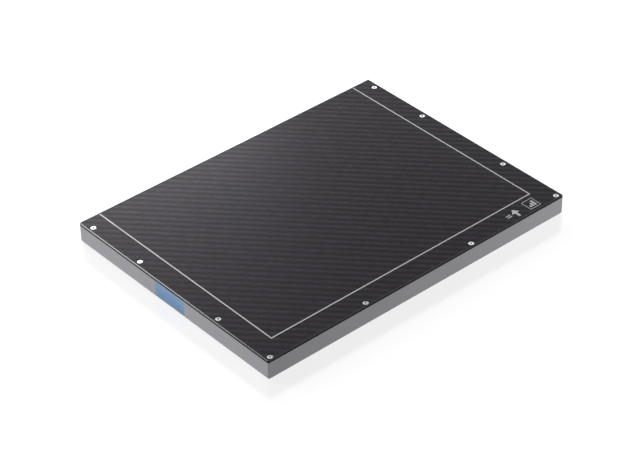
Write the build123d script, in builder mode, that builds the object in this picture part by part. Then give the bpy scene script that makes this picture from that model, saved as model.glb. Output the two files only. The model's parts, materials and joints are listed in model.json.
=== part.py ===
from build123d import *
import os

# Flat mammography detector, cassette size for the 18 x 24 cm format.
# X runs along the long side, Y along the short side, and the underside lies on Z = 0.
# The chest side faces +Y, the label side faces -X and the connector side faces +X.

os.makedirs("parts", exist_ok=True)

# Driving dimensions in millimetres

# Side frame
length = 266.0
width = 200.0
frame_height = 13.9
frame_corner_radius = 1.0
frame_bottom_radius = 1.9
side_wall = 2.6
chest_wall = 2.2
flange_width = 7.0
post_length = 7.0

# Front plate, the seal under it and the printed line round the active area
plate_thickness = 1.7
plate_corner_radius = 1.0
plate_bevel = 0.5
plate_head_gap = 0.35
seal_thickness = 0.3
seal_overlap = 0.4
line_inset = 16.0
line_width = 0.9
line_depth = 0.1
line_end_gap = 1.6

# Sensor stack, from the front plate down
foam_thickness = 0.8
scintillator_thickness = 0.6
glass_thickness = 0.7
shield_thickness = 0.5
chassis_thickness = 2.5
glass_end_gap = 4.5
glass_side_gap = 3.5
glass_chest_gap = 0.4
bond_margin = 3.0
shield_margin = 0.3

# Rear cover
cover_thickness = 1.5
cover_fit = 0.15

# Small screws, all with the same thread
screw_radius = 1.0
thread_gap = 0.02
fit_gap = 0.05
hole_gap = 0.15
head_radius = 1.95
head_gap = 0.12
pan_head_radius = 1.9
pan_head_height = 1.1
drive_radius = 0.75
drive_depth = 0.6
plate_screw_length = 6.0
cover_screw_length = 5.0
board_screw_reach = 1.8
hole_end_gap = 0.3
screw_end_inset = 4.0
screw_side_inset = 3.1
screw_chest_inset = 10.9
screw_spacing = 51.7
cover_screw_inset = 5.0
side_screw_spacing = 95.4
chassis_end_screw_inset = 4.9
chassis_side_screw_inset = 4.9
chassis_side_screw_spacing = 90.0
chassis_screw_from_post = 5.0

# General clearance between pieces that only lie near each other
part_gap = 0.3

# Flexes between the glass and the boards
flex_thickness = 0.2
flex_width = 20.0
flex_bend = 0.8
flex_standout = 2.0
flex_slot_width = 2.4
flex_slot_margin = 1.0
flex_bond = 2.0
flex_board_bond = 3.0
gate_flex_count = 6
gate_flex_margin = 8.4
readout_flex_count = 8
driver_length = 14.0
driver_width = 3.0
driver_thickness = 0.6

# Boards
standoff_height = 1.2
standoff_radius = 2.2
board_thickness = 1.0
board_edge = 4.0
gate_board_width = 13.5
readout_board_width = 20.0
corner_board_gap = 3.0
main_board_pack_gap = 10.0
main_board_end_gap = 9.0
main_board_side_gap = 2.0
main_board_chest_gap = 10.0
power_board_depth = 26.0
power_board_end_inset = 2.0
power_board_chest_gap = 8.0
board_screw_inset = 3.6
ribbon_width = 12.0
ribbon_gap = 0.9

# Battery pack and its tray
pack_length = 108.0
pack_width = 78.0
pack_recess = 0.2
pack_end_gap = 8.8
pack_side_gap = 1.0
pack_corner_radius = 1.5
pack_fit = 0.4
pack_wall = 1.4
pack_side_wall = 2.6
pack_floor = 1.2
pack_lid_thickness = 0.8
pull_length = 24.0
pull_width = 9.0
pull_depth = 0.7
pull_inset = 14.0
tray_wall = 0.8
tray_floor = 0.7
cell_height = 5.2
cell_gap = 1.0
contact_count = 5
contact_pitch = 4.0
contact_width = 2.0
contact_height = 2.0
contact_level = 4.8
contact_thickness = 1.2
contact_gap = 0.1
contact_offset = -30.0
contact_block_width = 2.2

# Battery locks, drawn open, and the catches of the pack that they slide under
catch_width = 9.4
catch_reach = 1.9
catch_depth = 1.5
catch_thickness = 1.2
lock_end_gap = 0.2
lock_thickness = 1.2
lock_tongue_width = 10.0
lock_tongue_length = 3.3
lock_plate_width = 16.0
lock_plate_length = 9.0
lock_tab_width = 12.0
lock_tab_length = 5.0
lock_tab_recess = 0.3
lock_roof = 0.8
lock_rib_width = 0.6
lock_rib_count = 4
lock_rib_depth = 0.4

# Connector side
io_board_offset = 7.5
io_board_height = 6.6
io_board_margin = 4.0
button_from_chest = 38.0
button_radius = 2.4
button_recess = 0.4
button_travel = 0.8
button_flange_radius = 2.9
button_flange_thickness = 0.6
button_stem_radius = 1.0
button_gap = 0.1
bezel_radius = 3.2
bezel_flange_radius = 3.5
bezel_flange_thickness = 0.5
switch_size = 4.6
switch_depth = 1.6
switch_plunger_radius = 0.9
switch_plunger_length = 1.4
light_count = 3
light_pitch = 4.0
light_radius = 1.0
light_from_chest = 22.0
led_size = 1.6
led_depth = 0.8
dock_length = 34.0
dock_height = 5.6
dock_recess = 0.2
dock_pin_count = 8
dock_pin_pitch = 3.6
dock_pin_radius = 0.9
dock_pin_depth = 1.0
window_gap = 2.9
window_height = 5.0
window_recess = 0.1
antenna_end_gap = 1.0
antenna_height = 4.4
antenna_thickness = 1.0

# Labels
side_label_length = 30.0
side_label_height = 11.4
side_label_level = 7.8
side_label_offset = 1.0
rear_label_length = 64.0
rear_label_width = 36.0
rear_label_end_gap = 22.0
rear_label_chest_gap = 48.0
label_thickness = 0.1

# Board components hang below their board by these heights
chip_height = 1.4
capacitor_height = 1.6
coil_height = 3.4
can_height = 2.4
can_wall = 0.3
module_height = 1.8
module_width = 22.0
module_length = 30.0
socket_width = 4.0
long_socket = 16.0
middle_socket = 14.0
short_socket = 12.0
small_step = 0.2

# Component places: share of the board along X and along Y, then size along X and along Y
main_chip_places = (
    (0.34, 0.60, 19, 19),
    (0.34, 0.41, 9, 12),
    (0.20, 0.41, 9, 12),
    (0.66, 0.60, 15, 15),
    (0.66, 0.46, 8, 8),
    (0.30, 0.80, 12, 8),
)
main_socket_places = (
    (0.06, 0.22, socket_width, short_socket),
    (0.40, 0.03, long_socket, socket_width),
    (0.97, 0.70, socket_width, middle_socket),
)
shock_sensor_place = (0.62, 0.84, 8, 6)
module_place = (0.74, 0.22, module_width, module_length)
gate_chip_places = ((0.6, 0.20, 5, 8), (0.6, 0.36, 5, 8), (0.6, 0.64, 5, 8), (0.6, 0.80, 5, 8))
readout_chip_shares = (0.14, 0.26, 0.38, 0.62, 0.74, 0.86)
readout_chip_size = (10, 7)
readout_socket_place = (0.82, 0.86, long_socket, socket_width)
coil_places = ((0.24, 0.6, 7, 7), (0.36, 0.6, 7, 7), (0.48, 0.6, 7, 7))
capacitor_places = ((0.60, 0.6, 4, 7), (0.68, 0.6, 4, 7), (0.76, 0.6, 4, 7), (0.84, 0.6, 4, 7))
power_socket_places = (
    (0.21, 0.12, middle_socket, socket_width),
    (0.97, 0.50, socket_width, short_socket),
)

# Levels, from the front plate down
plate_bottom = frame_height + seal_thickness
plate_top = plate_bottom + plate_thickness
plate_bottom_depth = plate_thickness + seal_thickness
plate_hole_depth = plate_screw_length - plate_bottom_depth + plate_head_gap + hole_end_gap
foam_bottom = plate_bottom - foam_thickness
scintillator_bottom = foam_bottom - scintillator_thickness
glass_bottom = scintillator_bottom - glass_thickness
chassis_top = glass_bottom - shield_thickness
chassis_bottom = chassis_top - chassis_thickness
board_top = chassis_bottom - standoff_height
board_bottom = board_top - board_thickness
fitting_level = (cover_thickness + chassis_bottom) / 2

# Inner faces of the frame and of its top flange
half_length = length / 2
half_width = width / 2
cavity_x = half_length - side_wall
cavity_low_y = -half_width + side_wall
cavity_high_y = half_width - chest_wall
flange_x = half_length - flange_width
flange_low_y = -half_width + flange_width

# Sensor glass and the active layer on it
glass_x = flange_x - glass_end_gap
glass_low_y = flange_low_y + glass_side_gap
glass_high_y = cavity_high_y - glass_chest_gap
glass_middle_y = (glass_low_y + glass_high_y) / 2

# Screw places in the plate and, under them, in the rear cover
end_screw_x = half_length - screw_end_inset
side_screw_y = -half_width + screw_side_inset
chest_screw_y = half_width - screw_chest_inset
end_screw_ys = (
    chest_screw_y,
    chest_screw_y - screw_spacing,
    side_screw_y + screw_spacing,
    side_screw_y,
)
plate_screw_places = [(x, y) for x in (-end_screw_x, end_screw_x) for y in end_screw_ys]
plate_screw_places += [(x, side_screw_y) for x in (-side_screw_spacing / 2, side_screw_spacing / 2)]

cover_end_screw_x = half_length - cover_screw_inset
cover_side_screw_y = -half_width + cover_screw_inset
cover_screw_places = [
    (x, max(y, cover_side_screw_y)) for x in (-cover_end_screw_x, cover_end_screw_x) for y in end_screw_ys
]
cover_screw_places += [
    (x, cover_side_screw_y) for x in (-side_screw_spacing / 2, side_screw_spacing / 2)
]

# Screws that hold the chassis plate up against the flange, each beside a post
chassis_screw_x = half_length - chassis_end_screw_inset
chassis_screw_y = -half_width + chassis_side_screw_inset
chassis_screw_places = [
    (x, post_y + post_length / 2 + chassis_screw_from_post)
    for x in (-chassis_screw_x, chassis_screw_x)
    for post_y in end_screw_ys[1:]
]
chassis_screw_places += [
    (x, chassis_screw_y)
    for x in (-chassis_side_screw_spacing, 0, chassis_side_screw_spacing)
]

# Edges of the gate board and the readout board, which carry the flexes
gate_board_low_x = -glass_x + board_edge
gate_board_high_x = gate_board_low_x + gate_board_width
readout_board_low_y = glass_low_y + board_edge
readout_board_high_y = readout_board_low_y + readout_board_width

# Flex centres along each side
gate_flex_room = glass_high_y - glass_low_y - 2 * gate_flex_margin - flex_width
gate_flex_pitch = gate_flex_room / (gate_flex_count - 1)
gate_flex_ys = [
    glass_middle_y + gate_flex_pitch * (i - (gate_flex_count - 1) / 2) for i in range(gate_flex_count)
]
readout_flex_room = 2 * (-gate_board_high_x - corner_board_gap) - flex_width
readout_flex_pitch = readout_flex_room / (readout_flex_count - 1)
readout_flex_xs = [
    readout_flex_pitch * (i - (readout_flex_count - 1) / 2) for i in range(readout_flex_count)
]

# Battery pack, its pocket and the tray round it
pack_x = pack_length / 2
pack_y = pack_width / 2
pocket_x = pack_x + pack_fit
pocket_y = pack_y + pack_fit
tray_x = pocket_x + tray_wall
tray_y = pocket_y + tray_wall

# Battery locks, as distances from the middle of the pack
lock_bottom = cover_thickness + part_gap
lock_top = lock_bottom + lock_thickness
lock_roof_bottom = lock_top + part_gap
catch_bottom = lock_top + part_gap
catch_top = catch_bottom + catch_thickness
catch_tip = pack_y + catch_reach
lock_tip = catch_tip + part_gap
lock_travel = lock_tip - pack_y - lock_end_gap
lock_plate_start = lock_tip + lock_tongue_length
lock_plate_end = lock_plate_start + lock_plate_length
lock_tab_start = lock_plate_start + (lock_plate_length - lock_tab_length) / 2
lock_tab_end = lock_tab_start + lock_tab_length
guide_end = lock_plate_end + part_gap + lock_roof
guide_half_x = lock_plate_width / 2 + part_gap

# Middle of the pack: the tray stands beside the gate board, the low guide beside the readout board
pack_centre_x = gate_board_high_x + pack_end_gap + tray_x
pack_centre_y = readout_board_high_y + pack_side_gap + guide_end
tray_floor_bottom = chassis_bottom - tray_floor
pack_top = tray_floor_bottom - pack_fit
pack_lid_bottom = pack_top - pack_lid_thickness
pack_floor_top = pack_recess + pack_floor
contact_x = pack_centre_x + contact_offset

# Board outlines as low X, high X, low Y, high Y
gate_board = (
    gate_board_low_x,
    gate_board_high_x,
    gate_flex_ys[0] - flex_width / 2 - small_step,
    gate_flex_ys[-1] + flex_width / 2 + small_step,
)
readout_board = (
    readout_flex_xs[0] - flex_width / 2 - small_step,
    readout_flex_xs[-1] + flex_width / 2 + small_step,
    readout_board_low_y,
    readout_board_high_y,
)
main_board = (
    pack_centre_x + tray_x + main_board_pack_gap,
    flange_x - main_board_end_gap,
    readout_board_high_y + main_board_side_gap,
    cavity_high_y - main_board_chest_gap,
)
power_board = (
    pack_centre_x - pack_x + power_board_end_inset,
    pack_centre_x + pack_x - power_board_end_inset,
    cavity_high_y - power_board_chest_gap - power_board_depth,
    cavity_high_y - power_board_chest_gap,
)


def board_corners(outline, low_inset):
    """Screw places near the four corners of a board, with an inset of their own at its low Y edge."""
    x_low, x_high, y_low, y_high = outline
    return [
        (x, y)
        for x in (x_low + board_screw_inset, x_high - board_screw_inset)
        for y in (y_low + low_inset, y_high - board_screw_inset)
    ]


gate_board_screws = [
    (gate_board[1] - board_screw_inset, y)
    for y in (
        gate_board[2] + board_screw_inset,
        (gate_board[2] + gate_board[3]) / 2,
        gate_board[3] - board_screw_inset,
    )
]
readout_board_screws = [
    (x, readout_board[3] - board_screw_inset)
    for x in (
        readout_board[0] + board_screw_inset,
        (readout_board[0] + readout_board[1]) / 2,
        readout_board[1] - board_screw_inset,
    )
]
# The ribbon from the gate board lands beyond the low screws of the main board
ribbon_y = readout_board_high_y + ribbon_gap + ribbon_width / 2
main_screw_low_inset = ribbon_y + ribbon_width / 2 + part_gap + standoff_radius - main_board[2]
main_board_screws = board_corners(main_board, main_screw_low_inset)
power_board_screws = board_corners(power_board, board_screw_inset)
board_screw_places = gate_board_screws + readout_board_screws + main_board_screws + power_board_screws

# Connector side, measured in from its outer face
io_board_face = half_length - io_board_offset
button_y = half_width - button_from_chest
light_ys = [half_width - light_from_chest - light_pitch * i for i in range(light_count)]
dock_y = (end_screw_ys[1] + end_screw_ys[2]) / 2
window_length = (screw_spacing - post_length - 3 * window_gap) / 2
window_middle_y = (end_screw_ys[2] + end_screw_ys[3]) / 2
window_ys = [window_middle_y + side * (window_length + window_gap) / 2 for side in (-1, 1)]
antenna_length = window_length - 2 * antenna_end_gap


def block(x_low, x_high, y_low, y_high, z_low, z_high, mode=Mode.ADD):
    """Box between two corners, in the part being built."""
    with Locations(((x_low + x_high) / 2, (y_low + y_high) / 2, (z_low + z_high) / 2)):
        Box(x_high - x_low, y_high - y_low, z_high - z_low, mode=mode)


def rod(x_low, x_high, y, z, radius, mode=Mode.ADD):
    """Cylinder along X, in the part being built."""
    with Locations(((x_low + x_high) / 2, y, z)):
        Cylinder(radius, x_high - x_low, rotation=(0, 90, 0), mode=mode)


def rectangle(x_low, x_high, y_low, y_high, radius=0.0, mode=Mode.ADD):
    """Rectangle between two corners, in the sketch being built."""
    with Locations(((x_low + x_high) / 2, (y_low + y_high) / 2)):
        if radius > 0:
            RectangleRounded(x_high - x_low, y_high - y_low, radius, mode=mode)
        else:
            Rectangle(x_high - x_low, y_high - y_low, mode=mode)


def at_level(places, level):
    """The same places in plan, lifted to one level."""
    return [(x, y, level) for x, y in places]


def countersunk_screws(places, top, length_below, direction):
    """Flat-headed screws with a hexagon socket; direction is the way the head faces."""
    face = Plane(origin=(0, 0, top), x_dir=(1, 0, 0), z_dir=(0, 0, direction))
    spots = [(x, direction * y) for x, y in places]
    sink = head_radius - screw_radius
    with BuildPart(face) as screws:
        with Locations(*at_level(spots, 0)):
            Cone(screw_radius, head_radius, sink, align=(Align.CENTER, Align.CENTER, Align.MAX))
        with Locations(*at_level(spots, -sink)):
            Cylinder(
                screw_radius, length_below - sink, align=(Align.CENTER, Align.CENTER, Align.MAX)
            )
        with BuildSketch(face):
            with Locations(*spots):
                RegularPolygon(drive_radius, 6)
        extrude(amount=-drive_depth, mode=Mode.SUBTRACT)
    return screws


def pan_screws(places, seat, reach):
    """Pan-headed screws driven upwards, with the underside of the head on the seat."""
    with BuildPart() as screws:
        with Locations(*at_level(places, seat)):
            Cylinder(
                pan_head_radius, pan_head_height, align=(Align.CENTER, Align.CENTER, Align.MAX)
            )
            Cylinder(screw_radius, reach, align=(Align.CENTER, Align.CENTER, Align.MIN))
        with BuildSketch(Plane.XY.offset(seat - pan_head_height)):
            with Locations(*places):
                RegularPolygon(drive_radius, 6)
        extrude(amount=drive_depth, mode=Mode.SUBTRACT)
    return screws


# Side frame: walls, the flange under the plate and the screw posts
with BuildPart() as side_frame:
    with BuildSketch():
        RectangleRounded(length, width, frame_corner_radius)
    extrude(amount=frame_height)
    fillet(side_frame.faces().sort_by(Axis.Z)[0].edges(), frame_bottom_radius)
    block(-cavity_x, cavity_x, cavity_low_y, cavity_high_y, 0, chassis_top, Mode.SUBTRACT)
    block(-flange_x, flange_x, flange_low_y, cavity_high_y, 0, frame_height, Mode.SUBTRACT)
    for y in end_screw_ys:
        post_low = max(y - post_length / 2, cavity_low_y)
        post_high = y + post_length / 2
        block(-cavity_x, -flange_x, post_low, post_high, cover_thickness, chassis_top)
        block(flange_x, cavity_x, post_low, post_high, cover_thickness, chassis_top)
    for x, y in plate_screw_places[2 * len(end_screw_ys):]:
        post_low = x - post_length / 2
        post_high = x + post_length / 2
        block(post_low, post_high, cavity_low_y, flange_low_y, cover_thickness, chassis_top)
    with Locations(*at_level(plate_screw_places, frame_height)):
        Hole(screw_radius + thread_gap, plate_hole_depth)
    with BuildSketch(Plane.XY.offset(cover_thickness)):
        with Locations(*cover_screw_places):
            Circle(screw_radius + thread_gap)
    extrude(amount=cover_screw_length - cover_thickness + hole_end_gap, mode=Mode.SUBTRACT)
    with BuildSketch(Plane.XY.offset(chassis_top)):
        with Locations(*chassis_screw_places):
            Circle(screw_radius + thread_gap)
    extrude(amount=board_screw_reach + hole_end_gap, mode=Mode.SUBTRACT)
    # Recess for the side label
    block(
        -half_length, -half_length + label_thickness,
        side_label_offset - side_label_length / 2, side_label_offset + side_label_length / 2,
        side_label_level - side_label_height / 2, side_label_level + side_label_height / 2,
        Mode.SUBTRACT,
    )
    # Openings of the connector side: button, lights, charging contacts, antenna windows
    with BuildSketch(Plane.YZ.offset(half_length)):
        with Locations((button_y, fitting_level)):
            Circle(bezel_radius)
        with Locations(*[(y, fitting_level) for y in light_ys]):
            Circle(light_radius)
        with Locations((dock_y, fitting_level)):
            SlotOverall(dock_length, dock_height)
        with Locations(*[(y, fitting_level) for y in window_ys]):
            SlotOverall(window_length, window_height)
    extrude(amount=-side_wall, mode=Mode.SUBTRACT)

# Seal between the frame and the front plate
with BuildPart() as plate_seal:
    with BuildSketch(Plane.XY.offset(frame_height)):
        RectangleRounded(length, width, frame_corner_radius)
        rectangle(
            -flange_x - seal_overlap, flange_x + seal_overlap,
            flange_low_y - seal_overlap, cavity_high_y + seal_overlap, mode=Mode.SUBTRACT,
        )
        with Locations(*plate_screw_places):
            Circle(screw_radius + hole_gap, mode=Mode.SUBTRACT)
    extrude(amount=seal_thickness)

# Front plate of woven carbon
line_outer_x = half_length - line_inset
line_inner_x = line_outer_x - line_width
line_outer_y = -half_width + line_inset
line_inner_y = line_outer_y + line_width
line_end_y = half_width - line_end_gap
with BuildPart() as front_plate:
    with BuildSketch(Plane.XY.offset(plate_bottom)):
        RectangleRounded(length, width, plate_corner_radius)
    extrude(amount=plate_thickness)
    chamfer(front_plate.faces().sort_by(Axis.Z)[-1].edges(), plate_bevel)
    with Locations(*at_level(plate_screw_places, plate_top)):
        CounterSinkHole(screw_radius + hole_gap, head_radius + plate_head_gap, counter_sink_angle=90)
    with BuildSketch(Plane.XY.offset(plate_top)):
        rectangle(-line_outer_x, line_outer_x, line_outer_y, line_end_y)
        rectangle(-line_inner_x, line_inner_x, line_inner_y, line_end_y, mode=Mode.SUBTRACT)
    extrude(amount=-line_depth, mode=Mode.SUBTRACT)

# Line printed round the active area, open towards the chest side
with BuildPart() as active_area_line:
    with BuildSketch(Plane.XY.offset(plate_top)):
        rectangle(-line_outer_x, line_outer_x, line_outer_y, line_end_y)
        rectangle(-line_inner_x, line_inner_x, line_inner_y, line_end_y, mode=Mode.SUBTRACT)
    extrude(amount=-line_depth)

plate_screws = countersunk_screws(plate_screw_places, plate_top - plate_head_gap, plate_screw_length, 1)

# Sensor stack under the plate
layer_low_x = -glass_x + bond_margin
layer_high_x = glass_x - bond_margin / 2
layer_low_y = glass_low_y + bond_margin
with BuildPart() as cushion_foam:
    block(layer_low_x, layer_high_x, layer_low_y, glass_high_y, foam_bottom, plate_bottom)
with BuildPart() as scintillator:
    block(layer_low_x, layer_high_x, layer_low_y, glass_high_y, scintillator_bottom, foam_bottom)
with BuildPart() as sensor_glass:
    block(-glass_x, glass_x, glass_low_y, glass_high_y, glass_bottom, scintillator_bottom)
with BuildPart() as lead_shield:
    block(
        -glass_x - shield_margin, glass_x + shield_margin,
        glass_low_y - shield_margin, glass_high_y, chassis_top, glass_bottom,
    )

# Chassis plate, notched round the posts and slotted for the flexes
with BuildPart() as chassis_plate:
    block(
        -cavity_x + part_gap, cavity_x - part_gap,
        cavity_low_y + part_gap, cavity_high_y - part_gap, chassis_bottom, chassis_top,
    )
    notch = post_length / 2 + part_gap
    for x, y in plate_screw_places[:len(end_screw_ys)]:
        for x_low, x_high in ((-half_length, -flange_x + part_gap), (flange_x - part_gap, half_length)):
            block(x_low, x_high, y - notch, y + notch, chassis_bottom, chassis_top, Mode.SUBTRACT)
    for x, y in plate_screw_places[2 * len(end_screw_ys):]:
        block(
            x - notch, x + notch, -half_width, flange_low_y + part_gap,
            chassis_bottom, chassis_top, Mode.SUBTRACT,
        )
    slot_near = flex_slot_margin
    slot_far = flex_slot_margin + flex_slot_width
    for y in gate_flex_ys:
        block(
            -glass_x - slot_far, -glass_x - slot_near,
            y - flex_width / 2 - part_gap, y + flex_width / 2 + part_gap,
            chassis_bottom, chassis_top, Mode.SUBTRACT,
        )
    for x in readout_flex_xs:
        block(
            x - flex_width / 2 - part_gap, x + flex_width / 2 + part_gap,
            glass_low_y - slot_far, glass_low_y - slot_near,
            chassis_bottom, chassis_top, Mode.SUBTRACT,
        )
    with Locations(*at_level(chassis_screw_places, chassis_top)):
        Hole(screw_radius + hole_gap, chassis_thickness)
    with BuildSketch(Plane.XY.offset(chassis_bottom)):
        with Locations(*board_screw_places):
            Circle(screw_radius + thread_gap)
    extrude(amount=board_screw_reach + hole_end_gap, mode=Mode.SUBTRACT)

chassis_screws = pan_screws(chassis_screw_places, chassis_bottom, chassis_thickness + board_screw_reach)

# Flexes that carry the rows of the glass to the gate board
flex_top_level = scintillator_bottom + flex_thickness / 2
flex_low_level = board_top + flex_thickness / 2
with BuildPart() as gate_flexes:
    for y in gate_flex_ys:
        with BuildSketch(Plane.XZ.offset(-y - flex_width / 2)):
            with BuildLine():
                FilletPolyline(
                    (-glass_x + flex_bond, flex_top_level),
                    (-glass_x - flex_standout, flex_top_level),
                    (-glass_x - flex_standout, flex_low_level),
                    (gate_board[0] + flex_board_bond, flex_low_level),
                    radius=flex_bend,
                )
            trace(line_width=flex_thickness)
        extrude(amount=flex_width)

# Flexes that carry the columns of the glass to the readout board
with BuildPart() as readout_flexes:
    for x in readout_flex_xs:
        with BuildSketch(Plane.YZ.offset(x - flex_width / 2)):
            with BuildLine():
                FilletPolyline(
                    (glass_low_y + flex_bond, flex_top_level),
                    (glass_low_y - flex_standout, flex_top_level),
                    (glass_low_y - flex_standout, flex_low_level),
                    (readout_board[2] + flex_board_bond, flex_low_level),
                    radius=flex_bend,
                )
            trace(line_width=flex_thickness)
        extrude(amount=flex_width)

# Driver chips on the flexes, and the pads that cool the readout chips
driver_start = small_step
driver_end = driver_start + driver_width
with BuildPart() as gate_chips:
    for y in gate_flex_ys:
        block(
            -glass_x + driver_start, -glass_x + driver_end,
            y - driver_length / 2, y + driver_length / 2, board_top - driver_thickness, board_top,
        )
with BuildPart() as readout_chips:
    for x in readout_flex_xs:
        block(
            x - driver_length / 2, x + driver_length / 2,
            glass_low_y + driver_start, glass_low_y + driver_end, board_top - driver_thickness, board_top,
        )
with BuildPart() as thermal_pads:
    for x in readout_flex_xs:
        block(
            x - driver_length / 2, x + driver_length / 2,
            glass_low_y + driver_start, glass_low_y + driver_end,
            board_top + flex_thickness, chassis_bottom,
        )


def board(outline, screw_places):
    """Circuit board with a clearance hole at each screw."""
    x_low, x_high, y_low, y_high = outline
    with BuildPart() as made:
        block(x_low, x_high, y_low, y_high, board_bottom, board_top)
        with Locations(*at_level(screw_places, board_top)):
            Hole(screw_radius + hole_gap, board_thickness)
    return made


gate_pcb = board(gate_board, gate_board_screws)
readout_pcb = board(readout_board, readout_board_screws)
main_pcb = board(main_board, main_board_screws)
power_pcb = board(power_board, power_board_screws)

# Standoffs between the boards and the chassis plate, and the screws through them
with BuildPart() as board_standoffs:
    with BuildSketch(Plane.XY.offset(board_top)):
        with Locations(*board_screw_places):
            Circle(standoff_radius)
            Circle(screw_radius + hole_gap, mode=Mode.SUBTRACT)
    extrude(amount=standoff_height)
board_screws = pan_screws(
    board_screw_places, board_bottom, board_thickness + standoff_height + board_screw_reach
)
with BuildPart() as inner_screws:
    add(chassis_screws.part)
    add(board_screws.part)


def under_board(outline, place, height, mode=Mode.ADD):
    """Component hung under a board, at a place given as shares of the outline and sizes."""
    x_low, x_high, y_low, y_high = outline
    across, along, size_x, size_y = place
    x = x_low + across * (x_high - x_low)
    y = y_low + along * (y_high - y_low)
    block(
        x - size_x / 2, x + size_x / 2, y - size_y / 2, y + size_y / 2,
        board_bottom - height, board_bottom, mode,
    )


# Chips and sockets under the boards
with BuildPart() as main_board_chips:
    for place in main_chip_places:
        under_board(main_board, place, chip_height)
with BuildPart() as gate_board_chips:
    for place in gate_chip_places:
        under_board(gate_board, place, chip_height)
with BuildPart() as readout_board_chips:
    for share in readout_chip_shares:
        under_board(readout_board, (share, 0.5, *readout_chip_size), chip_height)
with BuildPart() as power_coils:
    for place in coil_places:
        under_board(power_board, place, coil_height)
with BuildPart() as power_capacitors:
    for place in capacitor_places:
        under_board(power_board, place, capacitor_height)
with BuildPart() as board_sockets:
    for place in main_socket_places:
        under_board(main_board, place, chip_height)
    for place in power_socket_places:
        under_board(power_board, place, chip_height)
    under_board(readout_board, readout_socket_place, chip_height)
with BuildPart() as shock_sensor:
    under_board(main_board, shock_sensor_place, chip_height)

# Wireless module and the can that screens it
module_across, module_along = module_place[:2]
can_gap = part_gap + can_wall
can_place = (module_across, module_along, module_width + 2 * can_gap, module_length + 2 * can_gap)
can_hollow = (module_across, module_along, module_width + 2 * part_gap, module_length + 2 * part_gap)
with BuildPart() as wireless_module:
    under_board(main_board, module_place, module_height)
with BuildPart() as shield_can:
    under_board(main_board, can_place, can_height)
    under_board(main_board, can_hollow, can_height - can_wall, Mode.SUBTRACT)

# Ribbons between the boards
ribbon_rise_near = 2.0
ribbon_rise_far = 5.0
ribbon_top_level = chassis_bottom - flex_thickness / 2
readout_ribbon_x = readout_board[0] + readout_socket_place[0] * (readout_board[1] - readout_board[0])
with BuildPart() as board_ribbons:
    with BuildSketch(Plane.XZ.offset(-ribbon_y - ribbon_width / 2)):
        with BuildLine():
            FilletPolyline(
                (gate_board[1] - flex_board_bond, flex_low_level),
                (gate_board[1] + ribbon_rise_near, flex_low_level),
                (gate_board[1] + ribbon_rise_far, ribbon_top_level),
                (main_board[0] - ribbon_rise_far, ribbon_top_level),
                (main_board[0] - ribbon_rise_near, flex_low_level),
                (main_board[0] + flex_board_bond, flex_low_level),
                radius=flex_bend,
            )
        trace(line_width=flex_thickness)
    extrude(amount=ribbon_width)
    block(
        readout_ribbon_x - ribbon_width / 2, readout_ribbon_x + ribbon_width / 2,
        readout_board[3] - flex_board_bond, main_board[2] + flex_board_bond,
        board_top, board_top + flex_thickness,
    )

# Battery tray, open towards the rear cover, with the guides of the two locks
tray_low = cover_thickness


def lock_block(side, near, far, half_x, z_low, z_high, mode=Mode.ADD):
    """Box on one long side of the pack; near and far are distances from its middle."""
    y_low, y_high = sorted((pack_centre_y + side * near, pack_centre_y + side * far))
    block(pack_centre_x - half_x, pack_centre_x + half_x, y_low, y_high, z_low, z_high, mode)


with BuildPart() as battery_tray:
    with BuildSketch(Plane.XY.offset(tray_low)):
        rectangle(
            pack_centre_x - tray_x, pack_centre_x + tray_x,
            pack_centre_y - tray_y, pack_centre_y + tray_y, pack_corner_radius + tray_wall,
        )
    extrude(amount=chassis_bottom - tray_low)
    with BuildSketch(Plane.XY.offset(tray_low)):
        rectangle(
            pack_centre_x - pocket_x, pack_centre_x + pocket_x,
            pack_centre_y - pocket_y, pack_centre_y + pocket_y, pack_corner_radius,
        )
    extrude(amount=tray_floor_bottom - tray_low, mode=Mode.SUBTRACT)
    for side in (-1, 1):
        lock_block(
            side, tray_y, guide_end, guide_half_x + lock_roof, tray_low, lock_roof_bottom + lock_roof,
        )
        lock_block(
            side, tray_y, guide_end - lock_roof, guide_half_x, tray_low, lock_roof_bottom, Mode.SUBTRACT,
        )
        lock_block(
            side, pocket_y - part_gap, lock_tip, lock_tongue_width / 2 + part_gap,
            tray_low, catch_top + part_gap, Mode.SUBTRACT,
        )
    for i in range(contact_count):
        x = contact_x + contact_pitch * (i - (contact_count - 1) / 2)
        block(
            x - contact_width / 2 - small_step, x + contact_width / 2 + small_step,
            pack_centre_y + pocket_y - part_gap, pack_centre_y + tray_y,
            contact_level, contact_level + contact_height, Mode.SUBTRACT,
        )

# Battery contacts on the tray and the lead from them to the power board
contact_xs = [contact_x + contact_pitch * (i - (contact_count - 1) / 2) for i in range(contact_count)]
contact_half_x = contact_pitch * contact_count / 2
tray_face_y = pack_centre_y + tray_y
with BuildPart() as contact_block:
    block(
        contact_x - contact_half_x, contact_x + contact_half_x,
        tray_face_y, tray_face_y + contact_block_width, contact_level - contact_thickness, board_top,
    )
with BuildPart() as battery_contacts:
    for x in contact_xs:
        block(
            x - contact_width / 2, x + contact_width / 2,
            pack_centre_y + pack_y + contact_gap, tray_face_y,
            contact_level + small_step, contact_level + contact_height - small_step,
        )
with BuildPart() as battery_lead:
    block(
        contact_x - contact_half_x + small_step, contact_x + contact_half_x - small_step,
        tray_face_y + small_step, power_board[2] + flex_board_bond, board_top, board_top + flex_thickness,
    )

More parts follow.
